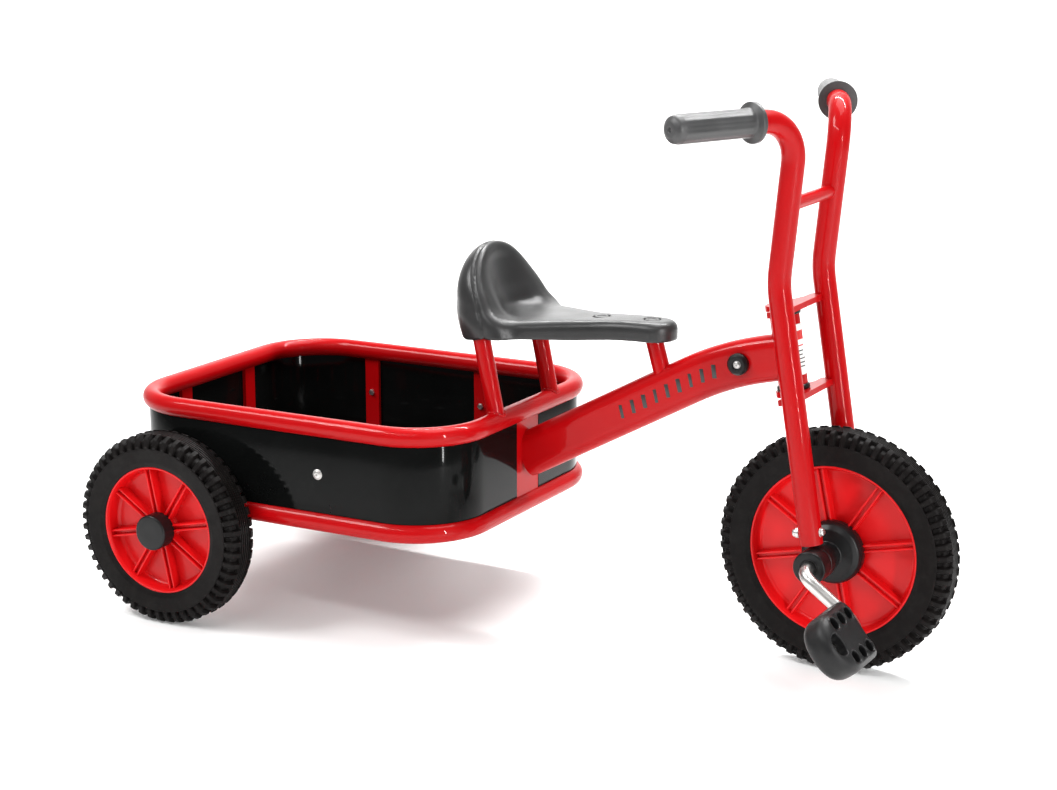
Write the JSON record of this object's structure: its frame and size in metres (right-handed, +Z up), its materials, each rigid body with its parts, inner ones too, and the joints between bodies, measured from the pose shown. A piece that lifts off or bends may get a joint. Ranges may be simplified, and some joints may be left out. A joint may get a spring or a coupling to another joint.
{
  "type": "childrens tricycle with rear tray",
  "caption": "Children's tricycle with a red tube frame, a raked fork with direct pedals on the front wheel, a moulded saddle and a rear tray between two free wheels.",
  "frame": {"origin": "on the ground under the middle of the bounding box", "axes": "+X forward, +Y to the rider's left, +Z up"},
  "size_m": [1.096, 0.569, 0.699],
  "materials": {
    "frame_red": "gloss powder coat",
    "rim_red": "gloss",
    "tyre_rubber": "matte",
    "steel": "zinc plated",
    "panel_black": "high gloss",
    "floor_black": "satin",
    "seat_plastic": "fine grain",
    "grip_rubber": "matte",
    "pedal_plastic": "satin",
    "label_film": "gloss",
    "black_plastic": "satin"
  },
  "bodies": {
    "frame": {"top_rail": "frame_red", "bottom_rail": "frame_red", "tray_posts": "frame_red", "tray_panel": "panel_black", "tray_floor": "floor_black", "floor_bearers": "frame_red", "panel_screws": "steel", "beam_bracket": "frame_red", "main_beam": "frame_red", "beam_stop": "black_plastic", "head_tube": "frame_red", "head_bush_upper": "black_plastic", "head_bush_lower": "black_plastic", "head_label": "label_film", "seat_post_rear_right": "frame_red", "seat_post_rear_left": "frame_red", "seat_post_front": "frame_red", "seat": "seat_plastic", "seat_plugs": "seat_plastic", "axle_tube": "frame_red", "axle_saddles": "frame_red", "rear_axle": "steel", "axle_spacers": "steel"},
    "fork": {"fork_tube_right": "frame_red", "fork_tube_left": "frame_red", "fork_crossbar": "frame_red", "fork_plate_upper": "frame_red", "fork_plate_lower": "frame_red", "steering_pin": "steel", "grip_right": "grip_rubber", "grip_left": "grip_rubber", "bearing_right": "black_plastic", "bearing_left": "black_plastic", "bearing_screws": "steel"},
    "front_wheel": {"front_tyre": "tyre_rubber", "front_rim": "rim_red", "front_disc": "rim_red", "front_ribs": "rim_red", "hub_cover_right": "black_plastic", "hub_cover_left": "black_plastic", "crank_axle": "steel"},
    "pedal_right_body": {"pedal_right": "pedal_plastic"},
    "pedal_left_body": {"pedal_left": "pedal_plastic"},
    "rear_wheel_right": {"rear_tyre_right": "tyre_rubber", "rear_rim_right": "rim_red", "rear_disc_right": "rim_red", "rear_ribs_right": "rim_red", "rear_bush_right": "black_plastic", "rear_cap_right": "black_plastic"},
    "rear_wheel_left": {"rear_tyre_left": "tyre_rubber", "rear_rim_left": "rim_red", "rear_disc_left": "rim_red", "rear_ribs_left": "rim_red", "rear_bush_left": "black_plastic", "rear_cap_left": "black_plastic"}
  },
  "joints": [
    {"name": "steering", "type": "hinge", "parent": "frame", "child": "fork", "pos_m": [0.367, 0, 0.15], "axis": [-0.1616, 0, 0.9869], "range_deg": [-45, 45]},
    {"name": "front_wheel_spin", "type": "hinge", "parent": "fork", "child": "front_wheel", "pos_m": [0.398, 0, 0.15], "axis": [0, 1, 0], "continuous": true},
    {"name": "pedal_right_spin", "type": "hinge", "parent": "front_wheel", "child": "pedal_right_body", "pos_m": [0.47081, -0.184, 0.0971], "axis": [0, 1, 0], "continuous": true},
    {"name": "pedal_left_spin", "type": "hinge", "parent": "front_wheel", "child": "pedal_left_body", "pos_m": [0.32519, 0.184, 0.2029], "axis": [0, 1, 0], "continuous": true},
    {"name": "rear_wheel_right_spin", "type": "hinge", "parent": "frame", "child": "rear_wheel_right", "pos_m": [-0.423, -0.249, 0.125], "axis": [0, 1, 0], "continuous": true},
    {"name": "rear_wheel_left_spin", "type": "hinge", "parent": "frame", "child": "rear_wheel_left", "pos_m": [-0.423, 0.249, 0.125], "axis": [0, 1, 0], "continuous": true}
  ]
}
